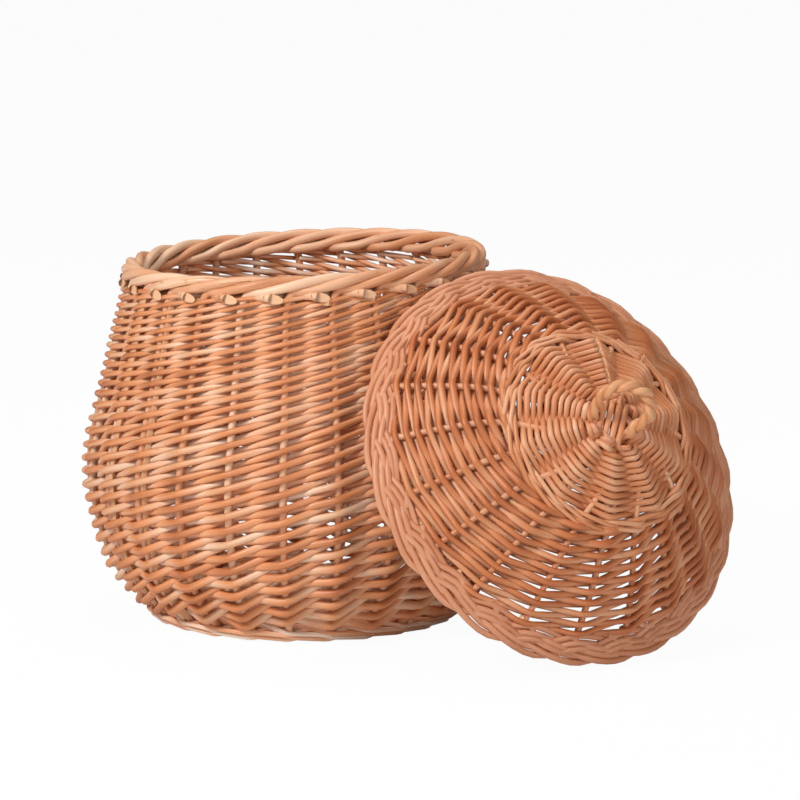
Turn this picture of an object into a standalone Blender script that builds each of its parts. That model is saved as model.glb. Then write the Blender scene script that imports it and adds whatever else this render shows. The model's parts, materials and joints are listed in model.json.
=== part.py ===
# Willow onion basket, with its domed lid leaning on its side.
# Lengths are in metres and +Z is up. The origin is on the floor, in the middle of the space that both take.
import bmesh
import bpy
import math
from mathutils import Matrix, Vector
from mathutils.kdtree import KDTree

# Numbers of rods
stick_count = 7
stake_count = 25
rib_count = 20
foot_rod_steps = 3
weaver_count = stake_count
weaver_steps = stake_count
wale_rods = 3
lid_weaver_count = 4
lid_weaver_steps = 42
lid_wale_count = 2
plait_strands = 3

# Clearances
gap = 0.0003
weave_gap = 0.0006
lid_weave_gap = 0.0003

# Wall: height and radius of the stakes' line, from the foot to the border; the foot stands out from the base
foot_height = 0.0078
foot_spread = 0.0120
flare_height = 0.0360
flare_radius = 0.1155
belly_height = 0.0900
belly_radius = 0.1285
shoulder_height = 0.1500
shoulder_radius = 0.1165
rim_height = 0.2120
rim_radius = 0.1025

# The hand-made rim is out of level: its rise along X at full height
rim_lean_share = 0.045

# Rods of the basket
stick_radius = 0.0030
stake_radius = 0.0023
butt_radius = 0.0024
tip_radius = 0.0017
wale_radius = 0.0022

# Base
base_radius = 0.0800
base_hole = 0.0240
base_thickness = 0.0130
base_crown = 0.0060
base_flat = 0.0120
base_rows = 3
row_relief = 0.0009
stick_overhang = 0.0045
fork_inset = 0.0025

# Bands of the wall
wale_height = 0.0110
wall_start = 0.0190
border_drop = 0.0145
pitch_fade_share = 0.25

# Border of the rim, a rope of stakes, and their trimmed ends
border_radius = 0.0042
stake_bend = 0.0095
tail_drop = 0.0095
tail_inside = 0.0057
tail_outside = 0.0058

# Lid
lid_rim_radius = 0.1085
lid_rim_lift = 0.0090
lid_rise = 0.0600
lid_power = 2.2
lid_stick_radius = 0.0020
lid_rib_radius = 0.0020
lid_hole = 0.0210
lid_heart_radius = 0.0480
lid_heart_thickness = 0.0110
lid_heart_rows = 3
lid_overhang = 0.0050
lid_fork_length = 0.0100
lid_wale_radius = 0.0019
lid_wale_start = 0.0640
lid_wale_pitch = 0.0052
lid_weave_start = 0.0745
lid_weave_margin = 0.0045
lid_butt_radius = 0.0020
lid_tip_radius = 0.0017

# Plaited border of the lid
plait_radius = 0.0021
plait_half_width = 0.0066
plait_half_height = 0.0032
plait_slope = math.radians(32)

# How the lid stands: where, which way its dome looks, how far it leans, and its turn about itself
lid_bearing = math.radians(-36.6)
lid_facing = math.radians(-58.4)
lid_lean = math.radians(29.9)
lid_roll = math.radians(147.7)

# Ring handle
ring_radius = 0.0036
ring_lobe = 0.0009
ring_height = 0.0235
ring_bow = 0.0150
ring_tilt = math.radians(25)
ring_turns = 4
ring_foot_depth = 0.0055

# Shares of the sizes that they follow
fan_shares = ((0.80, 1.00), (1.35, 0.35), (1.90, 0.00))
beside_share = 0.6
fork_share = 0.55
stake_height_shares = (0.07, 0.17, 0.30, 0.45, 0.61, 0.80)
rib_shares = (0.00, 0.25, 0.50, 0.75, 1.00)
tail_turns = ((3.5, 0.85, 0.45), (4.0, 1.00, 0.86), (4.14, 0.88, 0.95))
rope_turns = (0.16, 0.5, 1.0, 1.5, 2.0, 2.5, 3.0)
tail_middle_turn = 4.5
tail_end_turn = 4.82

# Peeled willow: red, green, blue, roughness
willow_tones = {
    "stakes": (0.66, 0.36, 0.19, 0.55),
    "weavers": (0.60, 0.31, 0.16, 0.52),
    "wale": (0.57, 0.29, 0.15, 0.55),
    "base": (0.50, 0.26, 0.14, 0.62),
    "lid ribs": (0.64, 0.35, 0.20, 0.55),
    "lid weavers": (0.57, 0.29, 0.15, 0.52),
    "plait": (0.61, 0.32, 0.17, 0.50),
    "ring": (0.70, 0.39, 0.21, 0.48),
}

end_count = 2 * stick_count
end_step = 2 * math.pi / end_count
stake_step = 2 * math.pi / stake_count
rib_step = 2 * math.pi / rib_count
foot_radius = base_radius + foot_spread
wall_knots = (
    (foot_height, foot_radius),
    (flare_height, flare_radius),
    (belly_height, belly_radius),
    (shoulder_height, shoulder_radius),
    (rim_height, rim_radius),
)


def clear_scene():
    for thing in list(bpy.data.objects):
        bpy.data.objects.remove(thing, do_unlink=True)


def new_collection(name):
    group = bpy.data.collections.new(name)
    bpy.context.scene.collection.children.link(group)
    return group


def willow(name, tone):
    red, green, blue, rough = willow_tones[tone]
    material = bpy.data.materials.new(name)
    material.use_nodes = True
    shader = material.node_tree.nodes["Principled BSDF"]
    shader.inputs["Base Color"].default_value = (red, green, blue, 1)
    shader.inputs["Roughness"].default_value = rough
    shader.inputs["Metallic"].default_value = 0
    return material


def smooth_value(knots, at):
    """Cubic curve through (place, value) knots, with slopes taken from the neighbours."""
    last = len(knots) - 1
    span = max(i for i in range(last) if i == 0 or knots[i][0] <= at)
    slopes = []
    for i in (span, span + 1):
        low = knots[max(i - 1, 0)]
        high = knots[min(i + 1, last)]
        slopes.append((high[1] - low[1]) / (high[0] - low[0]))
    (x0, y0), (x1, y1) = knots[span], knots[span + 1]
    width = x1 - x0
    t = (at - x0) / width
    return ((2 * t**3 - 3 * t**2 + 1) * y0 + (t**3 - 2 * t**2 + t) * width * slopes[0]
            + (3 * t**2 - 2 * t**3) * y1 + (t**3 - t**2) * width * slopes[1])


def wall_radius(height):
    return smooth_value(wall_knots, height)


def leaned(point):
    """Lifts the wall's right side towards the rim; the foot stays level."""
    share = max(point.z, 0) / rim_height
    return Vector((point.x, point.y, point.z + rim_lean_share * point.x * share * share))


def on_wall(angle, height, out=0):
    """A point of the wall, moved out along the wall's normal."""
    slope = (wall_radius(height + gap) - wall_radius(height - gap)) / (2 * gap)
    length = math.hypot(1, slope)
    radius = wall_radius(height) + out / length
    return leaned(Vector((radius * math.cos(angle), radius * math.sin(angle), height - out * slope / length)))


def dome_height(radius):
    return lid_rim_lift + lid_rise * (1 - (radius / lid_rim_radius) ** lid_power)


def on_dome(angle, radius, out=0):
    """A point of the lid's dome, in the lid's own frame, moved out along the dome's normal."""
    slope = -lid_rise * lid_power / lid_rim_radius * (radius / lid_rim_radius) ** (lid_power - 1)
    length = math.hypot(1, slope)
    r = radius - out * slope / length
    return Vector((r * math.cos(angle), r * math.sin(angle), dome_height(radius) + out / length))


def stake_angle(number):
    return (number + 1 / 2) * stake_step


def rib_angle(number):
    return (number + 1 / 2) * rib_step


def swing(rod_size, core_size, spacing, clearance=weave_gap):
    """How far a weaver's bends stand off the line of the stakes that it passes."""
    reach = rod_size + core_size + clearance
    return reach * math.hypot(1, 2 * reach / spacing)


def rod(name, points, radii, material, group, detail=0, closed=False, parent=None):
    """One willow rod: a round wire through the points, with its radius at each."""
    curve = bpy.data.curves.new(name, "CURVE")
    curve.dimensions = "3D"
    curve.bevel_depth = 1
    curve.bevel_resolution = detail
    curve.use_fill_caps = not closed
    line = curve.splines.new("POLY")
    line.points.add(len(points) - 1)
    for i, point in enumerate(points):
        line.points[i].co = (point.x, point.y, point.z, 1)
        line.points[i].radius = radii[i] if isinstance(radii, list) else radii
    line.use_cyclic_u = closed
    line.use_smooth = True
    curve.materials.append(material)
    thing = bpy.data.objects.new(name, curve)
    group.objects.link(thing)
    thing.parent = parent
    return thing


def as_solid(thing):
    """The same rod as a closed mesh, for joining or cutting."""
    bpy.context.view_layer.update()
    depsgraph = bpy.context.evaluated_depsgraph_get()
    mesh = bpy.data.meshes.new_from_object(thing.evaluated_get(depsgraph))
    work = bmesh.new()
    work.from_mesh(mesh)
    bmesh.ops.remove_doubles(work, verts=work.verts, dist=gap / 100)
    bmesh.ops.recalc_face_normals(work, faces=work.faces)
    work.to_mesh(mesh)
    work.free()
    name, parent, group = thing.name, thing.parent, thing.users_collection[0]
    bpy.data.objects.remove(thing, do_unlink=True)
    solid = bpy.data.objects.new(name, mesh)
    group.objects.link(solid)
    solid.parent = parent
    return solid


def boolean(target, tool, operation):
    step = target.modifiers.new(tool.name, "BOOLEAN")
    step.operation = operation
    step.solver = "EXACT"
    step.object = tool
    tool.hide_render = True
    tool.display_type = "WIRE"


def stick_spread(index):
    """Which way a crossed stick lies, its place among its neighbours, and how far its ends fan out."""
    long_way = math.ceil(stick_count / 2)
    upper = index < long_way
    members = long_way if upper else stick_count - long_way
    across = (index if upper else index - long_way) - (members - 1) / 2
    return upper, across, across * end_step


def stick_line(index, half_length, radius, crown):
    """Middle line of one crossed stick: side by side at the heart, then fanned out.

    crown gives the height of a stick's axis at a distance from the middle."""
    upper, across, spread = stick_spread(index)
    pitch = 2 * radius + gap
    heart = (math.ceil(stick_count / 2) / 2 + 1) * pitch
    lift = (radius + gap / 2) * (1 if upper else -1)
    start, stop = fan_shares[0][0] * heart, fan_shares[-1][0] * heart
    half = []
    for share, raised in fan_shares:
        reach = share * heart
        fan = (reach - start) / (stop - start)
        x = reach * (1 - fan + fan * math.cos(spread))
        y = (1 - fan) * across * pitch + fan * reach * math.sin(spread)
        half.append(Vector((x, y, crown(reach) + raised * lift)))
    for reach in ((stop + half_length) / 2, half_length):
        half.append(Vector((reach * math.cos(spread), reach * math.sin(spread), crown(reach))))
    other = [Vector((-p.x, p.y, p.z)) for p in half]
    turn = Matrix.Rotation(0 if upper else math.pi / 2, 3, "Z")
    return [turn @ p for p in reversed(half)] + [turn @ p for p in other]


def rods_beside(index, count):
    """The rods pushed in beside a stick's ends: each of the count rods goes to its nearest end."""
    upper, _, spread = stick_spread(index)
    first = 0 if upper else math.pi / 2
    found = []
    for end_angle in (first + spread, first + math.pi - spread):
        end = round(end_angle / end_step - 1 / 2) % end_count
        for number in range(count):
            if (2 * number + 1) * stick_count // count == end:
                found.append(((end + 1 / 2) * end_step, (number + 1 / 2) * 2 * math.pi / count))
    return found


def base_axis_height(reach):
    return base_thickness / 2 + base_crown * (1 - (reach / base_radius) ** 2)


def border_point(angle, turns, out, up):
    centre = on_wall(angle + turns * stake_step, rim_height)
    radial = Vector((centre.x, centre.y, 0)).normalized()
    return centre + radial * out + Vector((0, 0, up))


def border_run(angle):
    """A stake's end in the border: once round the rope, then out between two stakes."""
    points = []
    for turns in rope_turns:
        around = (turns - 1) * math.pi / 2
        aside, above = border_radius * math.cos(around), border_radius * math.sin(around)
        points.append(border_point(angle, turns, aside, above))
    for turns, inside, drop in tail_turns:
        points.append(border_point(angle, turns, -tail_inside * inside, -tail_drop * drop))
    points.append(border_point(angle, tail_middle_turn, 0, -tail_drop))
    points.append(border_point(angle, tail_end_turn, tail_outside, -tail_drop))
    return points


def stake_line(end_angle, angle):
    """A stake from beside the end of its stick, up the wall and through the border."""
    side = 1 if angle > end_angle else -1
    along = Vector((math.cos(end_angle), math.sin(end_angle), 0))
    across = Vector((-along.y, along.x, 0))
    level = base_axis_height(base_radius)
    foot = on_wall(angle, foot_height)
    first = along * (base_radius + fork_inset) + across * side * beside_share * stick_radius
    first.z = level
    points = [first, first.lerp(Vector((foot.x, foot.y, level)), fork_share), foot]
    top = rim_height - stake_bend
    for share in stake_height_shares:
        points.append(on_wall(angle, foot_height + share * (top - foot_height)))
    points.append(on_wall(angle, top))
    return points + border_run(angle)


def stick_and_stakes(index, group, tools, material):
    """A base stick with the stakes pushed in beside its ends."""
    line = stick_line(index, base_radius + stick_overhang, stick_radius, base_axis_height)
    name = "stick_and_stakes_" + str(index + 1)
    stick = as_solid(rod(name, line, stick_radius, material, group, detail=1))
    for number, (end_angle, angle) in enumerate(rods_beside(index, stake_count)):
        label = "stake_" + str(index + 1) + "_" + str(number + 1)
        stake = as_solid(rod(label, stake_line(end_angle, angle), stake_radius, material, tools))
        boolean(stick, stake, "UNION")
    return line


def woven_disc(name, hole, radius, thickness, rows, middle, flat, material, group):
    """A ring of close-woven rows round the sticks, turned from its section."""
    section = []
    width = (radius - hole) / (2 * rows)
    for i in range(2 * rows + 1):
        reach = radius - i * width
        relief = row_relief if i % 2 else 0
        section.append((reach, middle(reach) + thickness / 2 - relief))
    for i in range(2 * rows + 1):
        reach = hole + i * width
        relief = row_relief if i % 2 else 0
        section.append((reach, middle(reach) - thickness / 2 + relief))
    if flat:
        section = [p for p in section if p[1] > base_thickness / 2 or p[0] < radius - flat]
        section += [(radius - flat, 0), (radius, 0)]
    mesh = bpy.data.meshes.new(name)
    work = bmesh.new()
    loop = [work.verts.new((reach, 0, height)) for reach, height in section]
    for a, b in zip(loop, loop[1:] + loop[:1]):
        work.edges.new((a, b))
    work.to_mesh(mesh)
    work.free()
    mesh.materials.append(material)
    disc = bpy.data.objects.new(name, mesh)
    group.objects.link(disc)
    turned = disc.modifiers.new("turned", "SCREW")
    turned.steps = stake_count
    turned.render_steps = stake_count
    turned.use_merge_vertices = True
    turned.merge_threshold = gap / 100
    turned.use_normal_calculate = True
    return disc


def base_weave(group, tools, material, lines):
    disc = woven_disc("base_weave", base_hole, base_radius, base_thickness, base_rows, base_axis_height,
                      base_flat, material, group)
    for number, line in enumerate(lines):
        label = "base_stick_seat_" + str(number + 1)
        seat = as_solid(rod(label, line, stick_radius + gap, material, tools, detail=1))
        boolean(disc, seat, "DIFFERENCE")


def foot_rod(group, material):
    """The rod that lies under the stakes where they leave the base."""
    size = (base_axis_height(base_radius) - stake_radius) / 2 - gap
    radius = (base_radius + foot_radius) / 2
    points = []
    for number in range(foot_rod_steps * stake_count):
        angle = number * stake_step / foot_rod_steps
        points.append(Vector((radius * math.cos(angle), radius * math.sin(angle), size + gap)))
    rod("foot_rod", points, size, material, group, closed=True)


def wale_line(height, core):
    """Three rods in one line that closes after three rounds: behind one stake, in front of two."""
    spacing = stake_step * wall_radius(height)
    out = swing(wale_radius, core, spacing)
    rise = wale_radius + gap
    stations = ((-out, 0), (0, rise), (out, rise), (out, 0), (out, -rise), (0, -rise))
    points = []
    for visit in range(wale_rods * stake_count):
        for half in (0, 1):
            aside, up = stations[(2 * visit + half) % len(stations)]
            angle = stake_angle(visit) + half * stake_step / 2
            points.append(on_wall(angle, height + up, aside))
    return points


def weaver_height(share):
    eased = share * (1 + pitch_fade_share) - pitch_fade_share * share * share
    return wall_start + (rim_height - border_drop - wall_start) * eased


def weaver_line(number):
    """A siding rod: it climbs to the right, behind one stake and in front of the next."""
    points = []
    radii = []
    for step in range(weaver_steps + 1):
        share = step / weaver_steps
        height = weaver_height(share)
        size = butt_radius + share * (tip_radius - butt_radius)
        out = swing(size, stake_radius, stake_step * wall_radius(height))
        points.append(on_wall(stake_angle(number + step), height, out if step % 2 else -out))
        radii.append(size)
    return points, radii


def rib_line(end_angle, angle):
    """A rib of the lid, from beside the end of its stick to the notch of the plait."""
    start = lid_heart_radius + fork_inset
    opened = start + lid_fork_length
    side = 1 if angle > end_angle else -1
    points = [on_dome(end_angle + side * beside_share * lid_stick_radius / start, start)]
    for share in rib_shares:
        points.append(on_dome(angle, opened + share * (lid_rim_radius - opened)))
    radius, height = plait_section(-plait_half_width / 2 - plait_radius - weave_gap, 0)
    points.append(Vector((radius * math.cos(angle), radius * math.sin(angle), height)))
    return points


def lid_stick_and_ribs(index, group, tools, material, parent):
    """A lid stick with the ribs pushed in beside its ends."""
    line = stick_line(index, lid_heart_radius + lid_overhang, lid_stick_radius, dome_height)
    name = "lid_stick_and_ribs_" + str(index + 1)
    stick = as_solid(rod(name, line, lid_stick_radius, material, group, detail=1, parent=parent))
    for number, (end_angle, angle) in enumerate(rods_beside(index, rib_count)):
        label = "lid_rib_" + str(index + 1) + "_" + str(number + 1)
        rib = as_solid(rod(label, rib_line(end_angle, angle), lid_rib_radius, material, tools, parent=parent))
        boolean(stick, rib, "UNION")
    return line


def lid_heart(group, tools, material, lines, parent):
    disc = woven_disc("lid_heart", lid_hole, lid_heart_radius, lid_heart_thickness, lid_heart_rows,
                      dome_height,
                      0, material, group)
    disc.parent = parent
    for number, line in enumerate(lines):
        label = "lid_stick_seat_" + str(number + 1)
        seat = as_solid(rod(label, line, lid_stick_radius + gap, material, tools, detail=1, parent=parent))
        boolean(disc, seat, "DIFFERENCE")


def lid_wale(number, group, material, parent):
    """A ring that passes over and under the ribs in turn."""
    radius = lid_wale_start + number * lid_wale_pitch
    out = swing(lid_wale_radius, lid_rib_radius, rib_step * radius, lid_weave_gap)
    points = []
    for rib in range(rib_count):
        points.append(on_dome(rib_angle(rib), radius, out if (rib + number) % 2 else -out))
    rod("lid_wale_" + str(number + 1), points, lid_wale_radius, material, group, closed=True, parent=parent)


def lid_weaver_line(number):
    """A rod that winds outwards through the ribs."""
    first = number * rib_count // lid_weaver_count
    last_radius = lid_rim_radius - lid_weave_margin
    points = []
    radii = []
    for step in range(lid_weaver_steps + 1):
        share = step / lid_weaver_steps
        radius = lid_weave_start + share * (last_radius - lid_weave_start)
        size = lid_butt_radius + share * (lid_tip_radius - lid_butt_radius)
        out = swing(size, lid_rib_radius, rib_step * radius, lid_weave_gap)
        points.append(on_dome(-rib_angle(first + step), radius, out if step % 2 else -out))
        radii.append(size)
    return points, radii


def plait_section(across, above):
    """Radius and height of a place in the plait, which lies just outside the dome's edge."""
    reach = plait_half_width + plait_radius + across
    radius = lid_rim_radius + gap + reach * math.cos(plait_slope) + above * math.sin(plait_slope)
    return radius, lid_rim_lift - reach * math.sin(plait_slope) + above * math.cos(plait_slope)


def strand_section(phase):
    return plait_section(plait_half_width * math.sin(phase), plait_half_height * math.sin(2 * phase))


def plait_line():
    """Three strands in one line that closes after three rounds, a crossing at each rib."""
    samples = 2 * plait_strands
    points = []
    for i in range(samples * rib_count):
        angle = 2 * math.pi * plait_strands * i / (samples * rib_count)
        radius, height = strand_section(2 * math.pi * (i + 1 / 2) / samples)
        points.append(Vector((radius * math.cos(angle), radius * math.sin(angle), height)))
    return points


def lid_turn():
    """The leaning lid's axes: its own Z looks along the dome's axis."""
    tip = Matrix.Rotation(math.pi / 2 - lid_lean, 3, "Y")
    return Matrix.Rotation(lid_facing, 3, "Z") @ tip @ Matrix.Rotation(lid_roll, 3, "Z")


def rod_places(points, radii):
    """Close places along a rod, each with the rod's radius there."""
    places = []
    for i in range(len(points) - 1):
        size = radii[i] if isinstance(radii, list) else radii
        count = math.ceil(2 * (points[i + 1] - points[i]).length / size)
        for k in range(count):
            places.append((points[i].lerp(points[i + 1], k / count), size))
    return places


def basket_places():
    places = []
    for index in range(stick_count):
        for end_angle, angle in rods_beside(index, stake_count):
            places += rod_places(stake_line(end_angle, angle), stake_radius)
    for number in range(weaver_count):
        places += rod_places(*weaver_line(number))
    return places


def lid_places():
    places = rod_places(plait_line(), plait_radius)
    for index in range(stick_count):
        for end_angle, angle in rods_beside(index, rib_count):
            places += rod_places(rib_line(end_angle, angle), lid_rib_radius)
    for number in range(lid_weaver_count):
        places += rod_places(*lid_weaver_line(number))
    return places


def lid_place(turn):
    """The lid stands on the floor on its plait and leans on the basket with a small gap."""
    wall = basket_places()
    tree = KDTree(len(wall))
    for i, (point, size) in enumerate(wall):
        tree.insert(point, i)
    tree.balance()
    rods = [(turn @ point, size) for point, size in lid_places()]
    low = min(point.z - size for point, size in rods)
    near, far = rim_radius, rim_radius + 2 * lid_rim_radius
    for _ in range(14):
        reach = (near + far) / 2
        place = Vector((reach * math.cos(lid_bearing), reach * math.sin(lid_bearing), gap - low))
        least = gap
        for point, size in rods:
            for _, i, distance in tree.find_range(point + place, 2 * (plait_radius + butt_radius)):
                least = min(least, distance - size - wall[i][1])
        if least < gap:
            near = reach
        else:
            far = reach
    return Vector((far * math.cos(lid_bearing), far * math.sin(lid_bearing), gap - low))


def empty(name, group, location, rotation, parent=None):
    thing = bpy.data.objects.new(name, None)
    group.objects.link(thing)
    thing.location = location
    thing.rotation_euler = rotation
    thing.parent = parent
    return thing


def rope_section(tools):
    """Three-lobed section of the twisted ring."""
    curve = bpy.data.curves.new("ring_section", "CURVE")
    curve.dimensions = "2D"
    line = curve.splines.new("POLY")
    line.points.add(2 * plait_strands - 1)
    for i in range(2 * plait_strands):
        reach = ring_radius + (ring_lobe if i % 2 else -ring_lobe)
        angle = -i * math.pi / plait_strands
        line.points[i].co = (reach * math.cos(angle), reach * math.sin(angle), 0, 1)
    line.use_cyclic_u = True
    thing = bpy.data.objects.new("ring_section", curve)
    tools.objects.link(thing)
    thing.hide_render = True
    thing.display_type = "WIRE"
    return thing


def ring_handle(group, tools, material, parent):
    """A twisted ring that swings on its two feet, one each side of the upper sticks."""
    pitch = 2 * lid_stick_radius + gap
    half_row = math.ceil(stick_count / 2) / 2 * pitch
    thickest = ring_radius + ring_lobe
    foot = half_row + thickest
    height = dome_height(foot) + math.hypot(thickest, ring_foot_depth) + gap
    pivot = empty("ring_pivot", group, (0, 0, height), (ring_tilt, 0, math.pi / 2), parent)
    middle = ring_height - ring_bow
    half_turn = math.pi - math.asin(min(foot / ring_bow, 1))
    points = [Vector((-foot, 0, -ring_foot_depth))]
    arc = 14
    for i in range(arc + 1):
        angle = half_turn * (2 * i / arc - 1)
        points.append(Vector((ring_bow * math.sin(angle), 0, middle + ring_bow * math.cos(angle))))
    points.append(Vector((foot, 0, -ring_foot_depth)))
    thing = rod("ring_handle", points, 1.0, material, group, parent=pivot)
    thing.data.bevel_mode = "OBJECT"
    thing.data.bevel_object = rope_section(tools)
    thing.data.twist_mode = "MINIMUM"
    line = thing.data.splines[0]
    for i, point in enumerate(line.points):
        point.tilt = 2 * math.pi * ring_turns / plait_strands * i / (len(points) - 1)
    return pivot


def middle_of_floor(group):
    """The point on the floor under the middle of all the pieces."""
    bpy.context.view_layer.update()
    depsgraph = bpy.context.evaluated_depsgraph_get()
    corners = []
    for thing in group.objects:
        if thing.type == "EMPTY":
            continue
        solid = thing.evaluated_get(depsgraph)
        mesh = solid.to_mesh()
        corners += [thing.matrix_world @ vertex.co for vertex in mesh.vertices]
        solid.to_mesh_clear()
    low = [min(corner[axis] for corner in corners) for axis in range(3)]
    high = [max(corner[axis] for corner in corners) for axis in range(3)]
    return Vector(((low[0] + high[0]) / 2, (low[1] + high[1]) / 2, low[2]))


def build():
    clear_scene()
    group = new_collection("onion_basket")
    tools = new_collection("cutters")
    stand = empty("onion_basket_stand", group, (0, 0, 0), (0, 0, 0))
    lines = []
    for index in range(stick_count):
        material = willow("stick and stakes " + str(index + 1), "stakes")
        lines.append(stick_and_stakes(index, group, tools, material))
    base_weave(group, tools, willow("base weave", "base"), lines)
    foot_rod(group, willow("foot rod", "base"))
    line = wale_line(wale_height, stake_radius)
    rod("foot_wale", line, wale_radius, willow("foot wale", "wale"), group, closed=True)
    for number in range(weaver_count):
        material = willow("weaver " + str(number + 1), "weavers")
        rod("weaver_" + str(number + 1).zfill(2), *weaver_line(number), material, group)
    turn = lid_turn()
    lid = empty("lid_stand", group, lid_place(turn), turn.to_euler())
    lid_lines = []
    for index in range(stick_count):
        material = willow("lid stick and ribs " + str(index + 1), "lid ribs")
        lid_lines.append(lid_stick_and_ribs(index, group, tools, material, lid))
    lid_heart(group, tools, willow("lid heart", "lid weavers"), lid_lines, lid)
    for number in range(lid_wale_count):
        lid_wale(number, group, willow("lid wale " + str(number + 1), "lid weavers"), lid)
    for number in range(lid_weaver_count):
        material = willow("lid weaver " + str(number + 1), "lid weavers")
        rod("lid_weaver_" + str(number + 1), *lid_weaver_line(number), material, group, parent=lid)
    rod("lid_plait", plait_line(), plait_radius, willow("lid plait", "plait"), group, closed=True, parent=lid)
    pivot = ring_handle(group, tools, willow("ring handle", "ring"), lid)
    for thing in list(group.objects) + list(tools.objects):
        if thing.parent is None and thing is not stand:
            thing.parent = stand
    stand.location = -middle_of_floor(group)
    bpy.context.view_layer.update()
    print("basket axis at", [round(v, 5) for v in stand.matrix_world.translation])
    print("lid stands at", [round(v, 5) for v in lid.matrix_world.translation])
    print("lid axis", [round(v, 5) for v in turn.col[2]])
    print("ring pivot", [round(v, 5) for v in pivot.matrix_world.translation])
    print("ring axis", [round(v, 5) for v in pivot.matrix_world.col[0][:3]])


build()
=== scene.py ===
# %% [markdown]
# A willow onion basket, rod by rod
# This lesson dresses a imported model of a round-bellied willow basket and its domed lid.
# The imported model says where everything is. Here every willow rod gets its own tube,
# its own bend and its own tone, because a basket is nothing but rods.

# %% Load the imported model
import json
import math
import random

import bmesh
import bpy
from mathutils import Matrix, Vector


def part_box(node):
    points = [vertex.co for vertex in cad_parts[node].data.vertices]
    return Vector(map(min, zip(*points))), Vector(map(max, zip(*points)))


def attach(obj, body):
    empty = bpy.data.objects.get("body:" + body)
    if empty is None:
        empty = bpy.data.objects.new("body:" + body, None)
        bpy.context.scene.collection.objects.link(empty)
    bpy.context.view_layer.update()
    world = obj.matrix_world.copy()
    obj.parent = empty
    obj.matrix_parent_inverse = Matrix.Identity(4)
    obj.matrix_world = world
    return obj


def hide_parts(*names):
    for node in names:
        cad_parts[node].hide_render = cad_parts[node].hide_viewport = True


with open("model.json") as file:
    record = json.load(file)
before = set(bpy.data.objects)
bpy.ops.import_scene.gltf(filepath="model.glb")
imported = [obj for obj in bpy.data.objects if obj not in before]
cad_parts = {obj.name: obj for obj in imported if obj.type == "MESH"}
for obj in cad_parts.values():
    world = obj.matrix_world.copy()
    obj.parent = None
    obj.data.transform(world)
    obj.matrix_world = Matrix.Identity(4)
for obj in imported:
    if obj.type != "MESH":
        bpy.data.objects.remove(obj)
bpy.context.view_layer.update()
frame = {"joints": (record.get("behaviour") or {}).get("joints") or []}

# %% [markdown]
# Where the basket and the lid stand
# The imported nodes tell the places: the base's box gives the basket's axis, and the ring's hinge
# gives the lid's. The lid leans, so it is built lying flat in its own space and then turned.
# The pieces could be typed in place, but then a moved node would leave them behind.

# %% Places
base_low, base_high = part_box("base_weave")
basket_axis = Vector(((base_low.x + base_high.x) / 2, (base_low.y + base_high.y) / 2, 0))
hinge = [joint for joint in frame["joints"] if joint["name"] == "ring_hinge"][0]
lid_facing = math.radians(-58.4)
lid_lean = math.radians(29.9)
lid_roll = math.radians(147.7)
ring_seat_height = 0.07583
tip_over = Matrix.Rotation(math.pi / 2 - lid_lean, 3, "Y")
lid_turn = Matrix.Rotation(lid_facing, 3, "Z") @ tip_over @ Matrix.Rotation(lid_roll, 3, "Z")
ring_place = Vector(hinge["pos_m"])
lid_middle = ring_place - lid_turn.col[2] * ring_seat_height
basket_space = Matrix.Translation(basket_axis)
lid_space = Matrix.Translation(lid_middle) @ lid_turn.to_4x4()
print("basket axis", [round(v, 4) for v in basket_axis], "lid middle", [round(v, 4) for v in lid_middle])

# %% [markdown]
# The shape of the wall
# The stakes stand on a line that flares from the foot, swells to the belly and draws in to the rim.
# A few heights and radii with a smooth curve through them are enough. A table of many points
# would follow one photograph's bumps and would be hard to change.

# %% Wall profile
wall_knots = ((0.0078, 0.0920), (0.0360, 0.1155), (0.0900, 0.1285), (0.1500, 0.1165), (0.2120, 0.1025))
foot_height = wall_knots[0][0]
belly_height = wall_knots[2][0]
rim_height = wall_knots[-1][0]
rim_lean_share = 0.045
stake_count = 25
stake_step = 2 * math.pi / stake_count
stake_turn = math.radians(-2.0)
nudge = 0.0004


def through(knots, at):
    """A smooth curve through pairs of numbers, read at one value of the first of each pair."""
    last = len(knots) - 1
    span = max(i for i in range(last) if i == 0 or knots[i][0] <= at)
    slopes = []
    for i in (span, span + 1):
        low, high = knots[max(i - 1, 0)], knots[min(i + 1, last)]
        slopes.append((high[1] - low[1]) / (high[0] - low[0]))
    (x0, y0), (x1, y1) = knots[span], knots[span + 1]
    width = x1 - x0
    t = (at - x0) / width
    first = (2 * t**3 - 3 * t**2 + 1) * y0 + (t**3 - 2 * t**2 + t) * width * slopes[0]
    return first + (3 * t**2 - 2 * t**3) * y1 + (t**3 - t**2) * width * slopes[1]


def on_wall(angle, height, out=0.0):
    """A point of the wall, or off it by out, square to its curve. The rim leans a little to one side."""
    slope = (through(wall_knots, height + nudge) - through(wall_knots, height - nudge)) / (2 * nudge)
    length = math.hypot(1, slope)
    radius = through(wall_knots, height) + out / length
    z = height - out * slope / length
    share = max(z, 0) / rim_height
    x = radius * math.cos(angle)
    return Vector((x, radius * math.sin(angle), z + rim_lean_share * x * share * share))


def stake_angle(number):
    return stake_turn + (number + 0.5) * stake_step


print("belly radius", round(through(wall_knots, belly_height), 4))

# %% [markdown]
# One willow rod
# A rod is a round tube that follows a line and thins towards its tip. A curve with a bevel could
# make it too. Here a small circle is extruded from station to station and turned to face along the
# line, because that leaves a tidy strip of faces that can carry a map: once round the rod for U,
# and the length in metres for V. Each rod also stores a tone of its own, and its sawn ends are
# marked, so that one finish can paint hundreds of rods and no two look alike.

# %% Tube helpers
map_length = 0.05


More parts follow.
